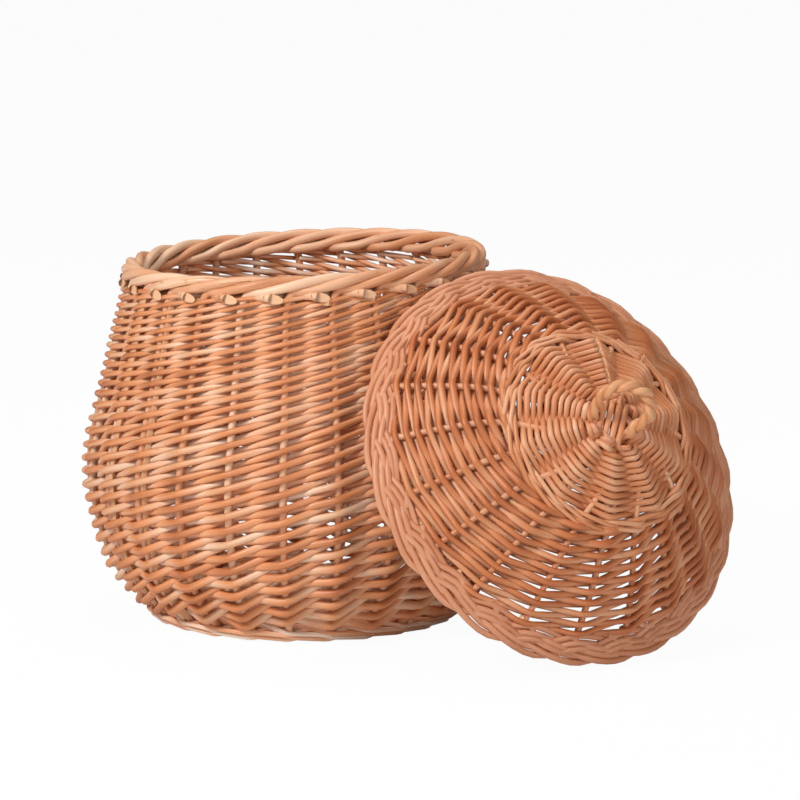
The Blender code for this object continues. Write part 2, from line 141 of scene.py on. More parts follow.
def stations_frame(points):
    """Directions and sideways vectors along a line, with no twist that the line doesn't have."""
    count = len(points)
    along = []
    for i in range(count):
        along.append((points[min(i + 1, count - 1)] - points[max(i - 1, 0)]).normalized())
    side = along[0].orthogonal().normalized()
    sides = []
    for direction in along:
        side = (side - direction * side.dot(direction)).normalized()
        sides.append(side)
    return along, sides


def next_ring(work, edges, ring):
    """Extrudes the last circle once; returns the new open edges and the new circle in the same order."""
    made = bmesh.ops.extrude_edge_only(work, edges=edges)["geom"]
    open_edges = [item for item in made if isinstance(item, bmesh.types.BMEdge) and item.is_boundary]
    follow = {}
    for face in (item for item in made if isinstance(item, bmesh.types.BMFace)):
        for edge in face.edges:
            a, b = edge.verts
            if (a in ring) != (b in ring):
                old, new = (a, b) if a in ring else (b, a)
                follow[old] = new
    return open_edges, [follow[vertex] for vertex in ring]


def place_rings(rings, shape, points, radii, cut):
    """Turns each circle square to the line at its station; a cut end is slid onto its slanting plane."""
    along, across = stations_frame(points)
    for i, ring in enumerate(rings):
        x = across[i]
        y = along[i].cross(x)
        size = radii[i] if isinstance(radii, list) else radii
        for vertex, place in zip(ring, shape):
            vertex.co = points[i] + x * place.x * size + y * place.y * size
    for end, normal in cut.items():
        middle, direction = points[end], along[end]
        for vertex in rings[end]:
            away = vertex.co - middle
            vertex.co -= direction * away.dot(normal) / direction.dot(normal)


def map_tube(work, map_layer, rings, shape, points, caps):
    """Lays the map: once round the rod for U, the length for V, and a disc on each sawn end."""
    sides = len(shape)
    lengths = [0.0]
    for before, after in zip(points, points[1:]):
        lengths.append(lengths[-1] + (after - before).length)
    station = {vertex: (i, k) for i, ring in enumerate(rings) for k, vertex in enumerate(ring)}
    for face in work.faces:
        numbers = [station[loop.vert][1] for loop in face.loops]
        wraps = max(numbers) - min(numbers) > 1
        for loop, k in zip(face.loops, numbers):
            if face in caps:
                loop[map_layer].uv = (shape[k].x / 2 + 0.5, shape[k].y / 2 + 0.5)
                continue
            turn = k + sides if wraps and k == 0 else k
            loop[map_layer].uv = (turn / sides, lengths[station[loop.vert][0]] / map_length)


print("a rod's map repeats every", map_length, "m")

# %% [markdown]
# Rods in piles
# All rods of one kind are laid into one pile, and the pile becomes one piece. Hundreds of objects
# would be slow to handle, and each would need a name. A pile is laid in the basket's or the lid's own
# space, and it is moved to its place once, when it is finished.

# %% Rods and piles
rods_random = random.Random(7)


def add_rod(pile, points, radii, tone, sides=8, painted_shade=None, cut=None):
    """Lays one rod into the pile. A painted shade has a number for each point, a cut a normal for an end.
    """
    work = bmesh.new()
    map_layer = work.loops.layers.uv.new("UVMap")
    tone_layer = work.verts.layers.float.new("tone")
    # Each rod carries a share of painted shade at every point.
    painted_shade_layer = work.verts.layers.float.new("painted_shade")
    cut_layer = work.faces.layers.float.new("cut")
    rings = [bmesh.ops.create_circle(work, segments=sides, radius=1.0)["verts"]]
    shape = [vertex.co.copy() for vertex in rings[0]]
    edges = list(work.edges)
    for _ in points[1:]:
        edges, ring = next_ring(work, edges, rings[-1])
        rings.append(ring)
    place_rings(rings, shape, points, radii, cut or {})
    caps = [work.faces.new(rings[0]), work.faces.new(list(reversed(rings[-1])))]
    for i, ring in enumerate(rings):
        for vertex in ring:
            vertex[tone_layer] = tone
            vertex[painted_shade_layer] = painted_shade[i] if painted_shade else 0
    for face in work.faces:
        face.smooth = face not in caps
    for face in caps:
        face[cut_layer] = 1.0
    map_tube(work, map_layer, rings, shape, points, caps)
    bmesh.ops.recalc_face_normals(work, faces=work.faces)
    part = bpy.data.meshes.new("rod")
    work.to_mesh(part)
    work.free()
    pile.from_mesh(part)
    bpy.data.meshes.remove(part)


def finish_pile(name, pile, space, body, finish, slot, *nodes):
    """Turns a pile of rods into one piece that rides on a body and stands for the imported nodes."""
    mesh = bpy.data.meshes.new(name)
    pile.transform(space)
    pile.to_mesh(mesh)
    pile.free()
    mesh.materials.append(finish)
    piece = bpy.data.objects.new(name, mesh)
    bpy.context.scene.collection.objects.link(piece)
    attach(piece, body)
    if nodes:
        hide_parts(*nodes)
    print(name, len(mesh.polygons), "faces")


print("every pile becomes one piece")

# %% [markdown]
# Lines for the rods
# A rod in a weave runs straight from post to post and bends only where it crosses one. A stake or a
# rib bends slowly along its whole length. So there are two helpers, one for each kind of line.

# %% Line helpers
bend_stations = (0.12, 0.5, 0.88, 1)


def bent_line(corner, begin, end):
    """Straight from post to post with a short bend at each; gives points and their places in posts."""
    turns = [begin]
    for post in range(begin, end):
        turns += [post + share for share in bend_stations]
    corners = [corner(post) for post in range(begin, end + 1)]
    points = []
    for turn in turns:
        whole = min(int(turn - begin), end - begin - 1)
        points.append(corners[whole].lerp(corners[whole + 1], turn - begin - whole))
    for i in range(len(bend_stations), len(points) - 1, len(bend_stations)):
        points[i] = (points[i] * 2 + points[i - 1] + points[i + 1]) / 4
    return points, turns


def smooth_line(points, per_span):
    """A rounded line through a few points."""
    line = []
    last = len(points) - 1
    for i in range(last):
        p0, p1, p2, p3 = points[max(i - 1, 0)], points[i], points[i + 1], points[min(i + 2, last)]
        for step in range(per_span):
            t = step / per_span
            line.append(0.5 * (2 * p1 + (p2 - p0) * t + (2 * p0 - 5 * p1 + 4 * p2 - p3) * t * t
                               + (3 * p1 - p0 - 3 * p2 + p3) * t**3))
    line.append(points[-1].copy())
    return line


print("a woven rod has", len(bend_stations), "stations from post to post")

# %% [markdown]
# Peeled willow
# Buff willow is boiled in its bark and then peeled, so it is a warm orange tan with a soft sheen.
# Along each rod run fine streaks, the tone drifts over a hand's width, and small dark specks mark
# the old buds. The streaks read the rod's own map, stretched along its length, so they bend with
# the rod. A flat colour would make plastic, and a picture of wood would repeat.

# %% Shader helpers
def stored(tree, name):
    """Reads a number that the rods carry: their tone, their painted shade or the mark of a sawn end."""
    made = tree.nodes.new("ShaderNodeAttribute")
    made.attribute_name = name
    return made.outputs["Fac"]


def multiplied(tree, value, factor, added=None):
    """A value times a factor, plus a number or another node's output where one is given."""
    made = tree.nodes.new("ShaderNodeMath")
    made.operation = "MULTIPLY" if added is None else "MULTIPLY_ADD"
    made.inputs[1].default_value = factor
    tree.links.new(value, made.inputs[0])
    if isinstance(added, float):
        made.inputs[2].default_value = added
    elif added is not None:
        tree.links.new(added, made.inputs[2])
    return made.outputs[0]


def ranged(tree, value, low, high, start=0.0, stop=1.0):
    """What goes from start to stop comes out going from low to high."""
    made = tree.nodes.new("ShaderNodeMapRange")
    made.inputs["From Min"].default_value = start
    made.inputs["From Max"].default_value = stop
    made.inputs["To Min"].default_value = low
    made.inputs["To Max"].default_value = high
    tree.links.new(value, made.inputs["Value"])
    return made.outputs["Result"]


def blended(tree, factor, under, over, blend="MIX"):
    """A plain colour over what another node gives, as strongly as the factor says."""
    made = tree.nodes.new("ShaderNodeMix")
    made.data_type = "RGBA"
    made.blend_type = blend
    made.inputs["B"].default_value = (*over, 1)
    tree.links.new(factor, made.inputs["Factor"])
    tree.links.new(under, made.inputs["A"])
    return made.outputs["Result"]


def patterned(tree, kind, place, stretch, **inputs):
    """A pattern on the rod's map, stretched across and along the rod."""
    mapping = tree.nodes.new("ShaderNodeMapping")
    mapping.inputs["Scale"].default_value = stretch
    tree.links.new(place, mapping.inputs["Vector"])
    made = tree.nodes.new(kind)
    for key, value in inputs.items():
        made.inputs[key].default_value = value
    tree.links.new(mapping.outputs[0], made.inputs["Vector"])
    return made


print("five shader helpers")

# %% [markdown]
# One finish for every rod
# A drift, a grain and the rod's own tone add up to one level, and a colour ramp turns the level into
# willow. A stored painted shade takes the level down and browns the colour: on the wall and the lid's
# siding most where a rod passes in front of a post, in the base and the lid's heart most where a rod
# passes below a stick. Last come the bud specks, and the pale pith on the sawn ends. Five colour sets
# serve for the wall, the stakes, the lid, the ropes and the ring.

# %% Willow finish
tone_shift = 37.0
tone_share = 0.55
drift_share = 0.75
grain_share = 0.45
# How far the painted shade takes the ramp's level down.
painted_shade_drop = 0.26
level_offset = -0.13
dark_stop, middle_stop, pale_stop = 0.22, 0.55, 0.86
speck_strength = 0.5
speck_core, speck_edge = 0.03, 0.12
# The brown tint that the painted shade multiplies into the colour.
painted_shade_tint = (0.80, 0.60, 0.42)
pith_colour = (0.76, 0.44, 0.25)
rough_low, rough_high = 0.30, 0.57
grain_bump = 0.25
grain_depth = 0.0004


def rod_map(tree, tone):
    """The rod's own map, moved by its tone, so that no two rods share their streaks."""
    place = tree.nodes.new("ShaderNodeUVMap")
    place.uv_map = "UVMap"
    away = multiplied(tree, tone, tone_shift)
    shift = tree.nodes.new("ShaderNodeCombineXYZ")
    tree.links.new(away, shift.inputs["X"])
    tree.links.new(away, shift.inputs["Z"])
    moved = tree.nodes.new("ShaderNodeVectorMath")
    moved.operation = "ADD"
    tree.links.new(place.outputs["UV"], moved.inputs[0])
    tree.links.new(shift.outputs[0], moved.inputs[1])
    return moved.outputs[0]


def streaks(tree, place, scale, stretch, detail):
    noise = patterned(tree, "ShaderNodeTexNoise", place, stretch, Scale=scale, Detail=detail, Roughness=0.6)
    return noise.outputs["Fac"]


def willow_colour(tree, level, dark, middle, pale):
    ramp = tree.nodes.new("ShaderNodeValToRGB")
    stops = ramp.color_ramp.elements
    stops[0].position = dark_stop
    stops[0].color = (*dark, 1)
    stops[1].position = pale_stop
    stops[1].color = (*pale, 1)
    stops.new(middle_stop).color = (*middle, 1)
    tree.links.new(level, ramp.inputs["Fac"])
    return ramp.outputs["Color"]


def willow_finish(name, dark, middle, pale):
    material = bpy.data.materials.new(name)
    material.use_nodes = True
    tree = material.node_tree
    shader = tree.nodes["Principled BSDF"]
    tone, painted_shade, cut = stored(tree, "tone"), stored(tree, "painted_shade"), stored(tree, "cut")
    place = rod_map(tree, tone)
    grain = streaks(tree, place, 9.0, (1.6, 0.10, 1.0), 4.0)
    drift = streaks(tree, place, 1.0, (0.5, 0.9, 1.0), 2.0)
    blotch = streaks(tree, place, 3.0, (1.2, 0.8, 1.0), 3.0)
    level = multiplied(tree, drift, drift_share, level_offset)
    level = multiplied(tree, grain, grain_share, level)
    level = multiplied(tree, tone, tone_share, level)
    # The painted shade takes the level down.
    level = multiplied(tree, painted_shade, -painted_shade_drop, level)
    colour = willow_colour(tree, level, dark, middle, pale)
    buds = patterned(tree, "ShaderNodeTexVoronoi", place, (2.0, 2.4, 1.0), Scale=1.0)
    near_bud = ranged(tree, buds.outputs["Distance"], speck_strength, 0.0, speck_core, speck_edge)
    colour = blended(tree, near_bud, colour, (dark[0] * 0.45, dark[1] * 0.4, dark[2] * 0.4))
    # The painted shade multiplies its brown tint into the colour.
    colour = blended(tree, painted_shade, colour, painted_shade_tint, "MULTIPLY")
    colour = blended(tree, cut, colour, pith_colour)
    tree.links.new(colour, shader.inputs["Base Color"])
    tree.links.new(ranged(tree, blotch, rough_low, rough_high), shader.inputs["Roughness"])
    bump = tree.nodes.new("ShaderNodeBump")
    bump.inputs["Strength"].default_value = grain_bump
    bump.inputs["Distance"].default_value = grain_depth
    tree.links.new(grain, bump.inputs["Height"])
    tree.links.new(bump.outputs["Normal"], shader.inputs["Normal"])
    return material


wall_willow = willow_finish("wall_willow", (0.50, 0.180, 0.068), (0.82, 0.395, 0.200), (0.88, 0.68, 0.53))
stake_willow = willow_finish("stake_willow", (0.48, 0.18, 0.070), (0.67, 0.300, 0.145), (0.80, 0.51, 0.33))
lid_willow = willow_finish("lid_willow", (0.40, 0.120, 0.038), (0.62, 0.235, 0.095), (0.76, 0.42, 0.25))
rope_willow = willow_finish("rope_willow", (0.32, 0.092, 0.030), (0.48, 0.160, 0.061), (0.63, 0.28, 0.15))
ring_willow = willow_finish("ring_willow", (0.38, 0.11, 0.032), (0.54, 0.19, 0.065), (0.68, 0.34, 0.16))
print("five willow finishes")

# %% [markdown]
# The siding
# Twenty-five stakes carry fifty-nine thin rods. Each rod starts low behind a stake, passes in front of
# the next, and climbs a little over two rows at every stake. So the fronts make the slanting checker of
# French randing. The height of a row comes from its number: wide rows at the belly, tight at the rim.
# At the foot the rods kink sharply where they cross a stake, because the wall flares there.

# %% Randing helpers
rod_press = 0.0001
rod_overhang = 0.7
rise_drift = 0.0005
sway_drift = 0.00025


def wander(seed, spread):
    """A slow drift along a rod, so that no row is ruled straight."""
    dice = random.Random(seed)
    waves = [(dice.uniform(0.25, 1.3), dice.uniform(0, 2 * math.pi), dice.uniform(0.4, 1.0))
             for _ in range(4)]
    size = sum(wave[2] for wave in waves)
    return lambda s: spread * sum(h * math.sin(rate * s + start) for rate, start, h in waves) / size


def dice_tone(middle, spread):
    """A tone from nought to one, mostly near the middle that is given."""
    return min(max(rods_random.gauss(middle, spread), 0), 1)


def painted_shade_shares(steps):
    """The share of painted shade: one at odd steps, nought at even steps, rising and falling straight
    between.
    """
    return [1 - abs(step % 2 - 1) for step in steps]


def randing(pile, number, count, rows, posts, place, butt, tip, core, tones, sink=None, early=rod_overhang):
    """One rod of French randing: behind a post, in front of the next, always a little further up."""
    per_row = posts / count
    entry = number * per_row
    leave = entry + rows[-1][0] * per_row
    begin = number + 1 + 2 * math.ceil((entry - number - 1 - early) / 2)
    end = number + 1 + 2 * math.floor((leave - number - 1 + rod_overhang) / 2)
    lowest = 0 if early < 1 else -1
    rise = wander(number + count, rise_drift)
    sway = wander(number + 9 * count, sway_drift)
    fatness = rods_random.uniform(0.92, 1.08)

    def share_at(post):
        return min(max((post - entry) / (leave - entry), lowest), 1)

    def size_at(post):
        return (butt + (tip - butt) * max(share_at(post), 0)) * fatness

    def corner(post):
        share = share_at(post)
        side = 1 if (post - number) % 2 == 0 else -1
        dip = sink(share) * side if sink else 0
        return place(post, through(rows, share * rows[-1][0]) + rise(post) - dip,
                     (size_at(post) + core - rod_press) * side + sway(post))

    points, turns = bent_line(corner, begin, end)
    # Painted shade: one where the rod passes in front of a post, nought where it passes behind.
    painted_shade = painted_shade_shares([turn - number + 1 for turn in turns])
    add_rod(pile, points, [size_at(turn) for turn in turns], dice_tone(*tones), painted_shade=painted_shade)


print("a rod may pass", rod_overhang, "of a post beyond its rows")

# %% [markdown]
# The rows of the wall
# The rows are named by number and their heights by a few knots, so one smooth curve spaces all of
# them. Low on the wall a rod dips where it crosses in front of a stake and rises where it passes
# behind, which is the sharp zigzag at the foot.

# %% Weave the siding
siding_count = 59
row_knots = ((0, 0.0108), (3, 0.0208), (9, 0.0420), (14, 0.0618), (21, 0.0895), (32.6, 0.1350),
             (37.4, 0.1500), (43, 0.1660), (52, 0.1885), (57.5, 0.2020), (60, 0.2072))
siding_butt = 0.00262
siding_tip = 0.00130
siding_tones = (0.5, 0.15)
stake_size = 0.0023
sink_low, sink_high = 0.0021, 0.0002
sink_fade = 3.0


def wall_place(post, height, out):
    return on_wall(stake_angle(post), height, out)


def wall_sink(share):
    """How far a rod dips in front of a stake: most at the foot, hardly at all from a third up."""
    return sink_low + (sink_high - sink_low) * min(share * sink_fade, 1)


pile = bmesh.new()
for number in range(siding_count):
    randing(pile, number, siding_count, row_knots, stake_count, wall_place, siding_butt, siding_tip,
            stake_size, siding_tones, wall_sink)
weaver_nodes = ["weaver_" + str(k + 1).zfill(2) for k in range(stake_count)]
finish_pile("siding", pile, basket_space, "basket", wall_willow, "weaver_1", *weaver_nodes)

# %% [markdown]
# Stakes and border
# A stake rises from the foot to the rim and is never cut there: it bends to the right, goes round
# its neighbours once like a strand of rope, dives behind the fifth stake and is trimmed outside.
# Each stake takes the same path one step further on, which is what makes the border a rope.

# %% Lay the stakes and the border
border_size = 0.0038
border_rod = 0.0028
stake_bend = 0.0140
stake_start = 0.90
stake_drift = 0.004
stake_shares = (0.0, 0.06, 0.15, 0.30, 0.45, 0.60, 0.75, 0.90, 1.0)
stake_detail = 5
stake_cut_rise = 0.10
stake_tones = (0.36, 0.16)
rope_turns = (0.14, 0.5, 1.0, 1.5, 2.0, 2.5, 3.0)
tail_places = ((3.5, -0.0046, -0.0036), (4.0, -0.0050, -0.0050), (4.25, -0.0012, -0.0054),
               (4.5, 0.0030, -0.0050), (4.74, 0.0064, -0.0060))


def at_border(angle, turns, out, up):
    """A point near the rim's line, some stakes further on, moved outwards and up."""
    centre = on_wall(angle + turns * stake_step, rim_height)
    radial = Vector((centre.x, centre.y, 0)).normalized()
    return centre + radial * out + Vector((0, 0, up))


def border_path(angle):
    """Once round the rope, then under it to the trimmed end outside."""
    path = []
    for turns in rope_turns:
        around = (turns - 1) * math.pi / 2
        path.append(at_border(angle, turns, border_size * math.cos(around), border_size * math.sin(around)))
    for turns, out, up in tail_places:
        path.append(at_border(angle, turns, out, up))
    return path


def stake_path(angle, drift):
    """From beside a base stick out to the foot, then up the wall to just below the border."""
    base = on_wall(angle, foot_height)
    inner = Vector((base.x, base.y, 0)) * stake_start
    inner.z = foot_height
    path = [inner, inner.lerp(base, 0.55)]
    for share in stake_shares:
        height = foot_height + share * (rim_height - stake_bend - foot_height)
        path.append(on_wall(angle + drift * share, height))
    return path


stakes = bmesh.new()
for number in range(stake_count):
    angle = stake_angle(number)
    path = stake_path(angle, rods_random.uniform(-stake_drift, stake_drift))
    line = smooth_line(path + border_path(angle), stake_detail)
    bend = (len(path) - 1) * stake_detail
    thick = border_rod * rods_random.uniform(0.94, 1.06)
    sizes = [stake_size + (thick - stake_size) * min(max((i - bend) / stake_detail, 0), 1)
             for i in range(len(line))]
    end_angle = angle + tail_places[-1][0] * stake_step
    slant = Vector((math.cos(end_angle), math.sin(end_angle), stake_cut_rise)).normalized()
    add_rod(stakes, line, sizes, dice_tone(*stake_tones), sides=10, cut={-1: slant})
finish_pile("stakes_and_border", stakes, basket_space, "basket", stake_willow, "stick_and_stakes_1")

# %% [markdown]
# The foot
# Where the stakes turn up, three rods at a time bind them: each passes in front of two stakes and
# behind one. This wale is what the whole wall stands on. Its rods are thin and lie nearly level.

# %% Wale round the foot
wale_heights = (0.0051, 0.0080)
wale_size = 0.0015
wale_drop = 0.0008
wale_tones = (0.45, 0.25)


def wale_round(pile, place, count, drop, size, core, tones):
    """Three rods, each in front of two posts and behind the next; place turns a post into a point."""
    reach = size + core
    for rod in range(3):
        rise = wander(rods_random.random(), drop / 3)

        def corner(post):
            phase = (post + rod) % 3
            return place(post, (0, drop, -drop)[phase] + rise(post), -reach if phase == 0 else reach)

        points, _ = bent_line(corner, 0, count)
        add_rod(pile, points, size * rods_random.uniform(0.92, 1.08), dice_tone(*tones))


def at_foot(height):
    """The wall's line at one height, in the form that wale_round asks for."""
    return lambda post, up, out: on_wall(stake_angle(post), height + up, out)


pile = bmesh.new()
for height in wale_heights:
    wale_round(pile, at_foot(height), stake_count, wale_drop, wale_size, stake_size, wale_tones)
foot_nodes = ("foot_wale", "foot_rod")
finish_pile("foot_wale_rods", pile, basket_space, "basket", wall_willow, "foot_wale", *foot_nodes)

# %% [markdown]
# The base
# Seven sticks cross in the middle, four over three, and fan out to carry the weave. Pairs of rods
# twine round them in rings: one over and one under each stick, changing places between sticks.
# The lid's heart is made the same way, so both use the same two helpers.

# %% Crossed sticks and pairing
upper_sticks = 4
stick_gap = 0.0002
pair_sway = 0.0003
pair_twist = 0.5
pair_core_share = 0.8


def crossed_sticks(pile, half, size, bare, on_skin, tones, below=3):
    """Four sticks along X over some along Y; past the bare middle they fan out to even angles."""
    pitch = 2 * size + stick_gap
    end_step = math.pi / (upper_sticks + below)
    fanned = bare * 1.8
    reaches = (0.0, bare * 0.5, bare, bare * 1.35, fanned, (fanned + half) / 2, half)
    for group, members in ((0, upper_sticks), (1, below)):
        for member in range(members):
            across = member - (members - 1) / 2
            spread = across * end_step
            line = []
            for side in (-1, 1):
                part = []
                for reach in reaches:
                    fan = min(max((reach - bare) / (bare * 0.8), 0), 1)
                    fan = fan * fan * (3 - 2 * fan)
                    x = reach * (1 - fan + fan * math.cos(spread))
                    y = (1 - fan) * across * pitch + fan * reach * math.sin(spread)
                    lift = size * (1 - fan) * (1 if group == 0 else -1)
                    turned = math.atan2(y, side * x) + group * math.pi / 2
                    part.append(on_skin(turned, math.hypot(x, y), lift))
                line = list(reversed(part)) + line if side < 0 else line + part[1:]
            thick = size * rods_random.uniform(0.94, 1.05)
            add_rod(pile, smooth_line(line, 3), thick, dice_tone(*tones), sides=10)


def pairing(pile, radius, size, core, on_skin, tones, posts, turn=0.0):
    """A ring of two twined rods round the sticks."""
    for strand in (0, 1):
        rise = wander(rods_random.random(), rise_drift)
        sway = wander(rods_random.random(), pair_sway)

        def corner(post):
            side = 1 if (post + strand) % 2 == 0 else -1
            angle = turn + (post + 0.5) * 2 * math.pi / posts
            return on_skin(angle, radius + rise(post), side * (size + core) + sway(post))

        points, turns = bent_line(corner, 0, posts)
        for point, at in zip(points, turns):
            outward = Vector((point.x, point.y, 0)).normalized()
            going_under = 1 if (int(at) + strand) % 2 == 0 else -1
            point += outward * going_under * size * pair_twist * math.sin(math.pi * (at % 1))
        thick = size * rods_random.uniform(0.9, 1.1)
        # Painted shade: one where the rod passes below a stick, nought where it passes above.
        painted_shade = painted_shade_shares([turn + strand for turn in turns])
        add_rod(pile, points, thick, dice_tone(*tones), painted_shade=painted_shade)


print("sticks cross", upper_sticks, "over some, and pairs of rods twine round them")

# %% [markdown]
# The round base
# Seen from above or below, rings of twined rods fill the circle between the middle and the foot. The
# base rises a little in the middle, as woven bases do, so that the basket stands on its edge.

# %% Weave the base
base_ends = 14
base_radius = 0.0905
base_stick_size = 0.0028
base_rod_size = 0.0018
base_stick_reach = 0.0850
base_bare = 0.0150
base_edge_height, base_rise = 0.0074, 0.0046
base_tones = (0.4, 0.2)
base_first_row, base_pitch, base_margin = 0.0250, 0.0047, 0.0030


def on_base(angle, radius, up):
    height = base_edge_height + base_rise * (1 - (radius / base_radius) ** 2)
    return Vector((radius * math.cos(angle), radius * math.sin(angle), height + up))


pile = bmesh.new()
crossed_sticks(pile, base_stick_reach, base_stick_size, base_bare, on_base, (0.45, 0.2))
for radius, core, posts, turn in ((0.0165, 0.0045, 4, -math.pi / 4), (0.0205, 0.0040, 4, -math.pi / 4),
                                  (0.0202, 0.0036, 8, 0.0)):
    pairing(pile, radius, base_rod_size, core, on_base, base_tones, posts=posts, turn=turn)
base_core = base_stick_size * pair_core_share
base_row = base_first_row
while base_row < base_radius - base_margin:
    pairing(pile, base_row, base_rod_size, base_core, on_base, (0.4, 0.22), posts=base_ends)
    base_row += base_pitch
base_nodes = ["base_weave"] + ["stick_and_stakes_" + str(k + 1) for k in range(1, 7)]
finish_pile("base_rods", pile, basket_space, "basket", wall_willow, "base_weave", *base_nodes)

# %% [markdown]
# The lid's sticks and ribs
# The lid is a basket in small: four sticks cross over one at its top, and two ribs are pushed in
# beside each of the ten stick ends. The twenty ribs curve down like umbrella ribs to the rim.

# %% Lid dome, sticks and ribs
lid_rim_radius = 0.1085
lid_lift, lid_rise, lid_power = 0.0090, 0.0600, 2.2
lid_stick_size = 0.0021
rib_size = 0.0019
heart_radius = 0.0525
lid_ends = 10
rib_count = 2 * lid_ends
rib_step = 2 * math.pi / rib_count
rib_twist = math.radians(7.5)
twist_start, twist_length = 0.75, 0.025
stick_past_heart = 0.006
lid_bare = 0.0118
rib_root = 0.018
rib_past_rim = 0.0012
rib_drift = 0.010
rib_shares = (0.0, 0.12, 0.30, 0.50, 0.75, 1.0)


def on_dome(angle, radius, out=0.0):
    slope = -lid_rise * lid_power / lid_rim_radius * (radius / lid_rim_radius) ** (lid_power - 1)
    length = math.hypot(1, slope)
    height = lid_lift + lid_rise * (1 - (radius / lid_rim_radius) ** lid_power) + out / length
    r = radius - out * slope / length
    return Vector((r * math.cos(angle), r * math.sin(angle), height))


def rib_angle(number, radius):
    """The ribs start beside the stick ends and are twisted a little aside by the weave below the heart."""
    twisted = min(max((radius - twist_start * heart_radius) / twist_length, 0), 1)
    return (number + 0.5) * rib_step - rib_twist * twisted


def dome_up(angle, radius):
    return (on_dome(angle, radius, 1.0) - on_dome(angle, radius, 0.0)).normalized()


pile = bmesh.new()
stick_reach = heart_radius + stick_past_heart
crossed_sticks(pile, stick_reach, lid_stick_size, lid_bare, on_dome, (0.30, 0.12), below=1)
for rib in range(rib_count):
    drift = rods_random.uniform(-rib_drift, rib_drift)
    stick = (rib // 2 + 0.5) * 2 * rib_step
    own = rib_angle(rib, 0)
    line = [on_dome(stick + (own - stick) * 0.25, heart_radius - rib_root, 0.0004)]
    for share in rib_shares:
        radius = heart_radius + share * (lid_rim_radius + rib_past_rim - heart_radius)
        line.append(on_dome(rib_angle(rib, radius) + drift * share, radius))
    add_rod(pile, smooth_line(line, 3), rib_size * rods_random.uniform(0.93, 1.06), dice_tone(0.34, 0.12))
lid_frames = ["lid_stick_and_ribs_" + str(k + 1) for k in range(7)]
finish_pile("lid_sticks_and_ribs", pile, lid_space, "lid", lid_willow, "lid_stick_and_ribs_1", *lid_frames)

# %% [markdown]
# The lid's heart
# Fine rods twine round the stick ends in rings a little under four millimetres apart. They run straight
# from stick to stick, so the rings are polygons with ten corners. Round its edge lie two heavier rings,
# woven three rods at a time like the foot of the basket.

# %% Weave the heart
heart_rod_size = 0.00175
heart_pitch = 0.0036
heart_crown = ((0.0132, 4), (0.0166, 4), (0.0178, 8))
crown_core = 0.0034
heart_first_row = 0.0208
heart_margin = 0.001
shoulder_rings = (0.0562, 0.0594)
shoulder_drop, shoulder_size = 0.0012, 0.00145


def at_shoulder(ring):
    """A ring of the dome just outside the heart, in the form that wale_round asks for."""
    return lambda post, up, out: on_dome(rib_angle(-post - 1, ring), ring + up, out)


pile = bmesh.new()
for radius, posts in heart_crown:
    turn = -math.pi / posts
    pairing(pile, radius, heart_rod_size, crown_core, on_dome, (0.36, 0.15), posts=posts, turn=turn)
heart_core = lid_stick_size * pair_core_share
heart_row = heart_first_row
while heart_row < heart_radius + heart_margin:
    pairing(pile, heart_row, heart_rod_size, heart_core, on_dome, (0.36, 0.16), posts=lid_ends)
    heart_row += heart_pitch
for ring in shoulder_rings:
    wale_round(pile, at_shoulder(ring), rib_count, shoulder_drop, shoulder_size, rib_size, (0.26, 0.12))
heart_nodes = ("lid_heart", "lid_wale_1", "lid_wale_2")
finish_pile("lid_heart_rods", pile, lid_space, "lid", lid_willow, "lid_heart", *heart_nodes)

# %% [markdown]
# The lid's siding
# Below the heart the lid is woven like the wall: twenty-eight rods, each over one rib and under the
# next, moving outwards a row and a half at every rib. The rows close up where they meet the border.

# %% Weave the dome
dome_rows = ((0, 0.0625), (2.4, 0.0695), (5.5, 0.0785), (9.0, 0.0877), (12.7, 0.0967), (16.3, 0.1048),
             (18.8, 0.1100))
dome_rods = 28
dome_butt = 0.00222
dome_tip = 0.00172
dome_early = 1.7


def dome_place(s, radius, out):
    return on_dome(rib_angle(-s - 1, radius), radius, out)


pile = bmesh.new()
for number in range(dome_rods):
    randing(pile, number, dome_rods, dome_rows, rib_count, dome_place, dome_butt, dome_tip,
            rib_size, (0.5, 0.15), early=dome_early)
dome_nodes = ["lid_weaver_" + str(k + 1) for k in range(4)]
finish_pile("lid_siding", pile, lid_space, "lid", lid_willow, "lid_weaver_1", *dome_nodes)

# %% [markdown]
# The plaited border
# The ribs end in a plait: three strands, and each strand is three rods lying side by side. The plait
# lies outside the dome's edge on a slope, like the brim of a hat. One line that goes round three
# times makes all three strands, because each strand comes back one place further on.

# %% Plait the border
plait_centre = 0.0066
plait_half_width = 0.0041
plait_half_height = 0.0025
plait_rod_size = 0.00195
plait_slope = math.radians(32)
plait_tuck = 0.35
plait_samples = 14
plait_places = 25
plait_step = 2 * math.pi / plait_places
plait_gap = 0.0003
lane_pitch = 1.90
look_ahead = 0.02


def plait_point(angle, across, above):
    reach = plait_centre + across
    radius = lid_rim_radius + plait_gap + reach * math.cos(plait_slope) - above * plait_tuck
    height = lid_lift - reach * math.sin(plait_slope) + above * math.cos(plait_slope)
    return Vector((radius * math.cos(angle), radius * math.sin(angle), height))


def strand_middle(turns):
    phase = 2 * math.pi * turns
    across = plait_half_width * (math.sin(phase) + 0.22 * math.sin(2 * phase) + 0.05 * math.sin(3 * phase))
    return turns * 3 * plait_step, across, plait_half_height * math.sin(2 * phase)


